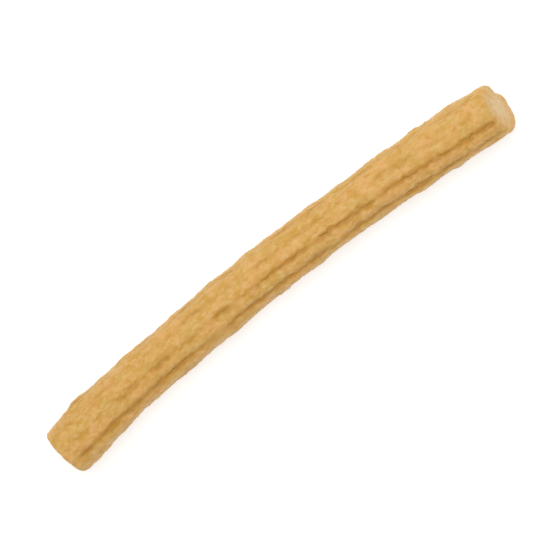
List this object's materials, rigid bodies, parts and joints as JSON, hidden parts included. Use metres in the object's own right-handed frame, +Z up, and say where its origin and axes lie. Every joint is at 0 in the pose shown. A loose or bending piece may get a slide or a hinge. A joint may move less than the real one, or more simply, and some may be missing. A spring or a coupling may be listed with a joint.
{
  "type": "churro",
  "caption": "Straight fried dough stick with soft lengthwise ridges that twist slightly, a gentle sideways bow and two plain cut ends.",
  "frame": {"origin": "on the surface the stick lies on, under the middle of its outer box", "axes": "+X along the stick, towards the end whose cut leans back and shows its pale crumb; +Y towards the bowed-out side; +Z up, towards the shown side"},
  "size_m": [0.2552, 0.0322, 0.0245],
  "materials": {
    "crust": "matt golden-tan fried dough crust, with paler crumb at the cut end"
  },
  "bodies": {
    "root": {"churro": "crust"}
  },
  "joints": []
}
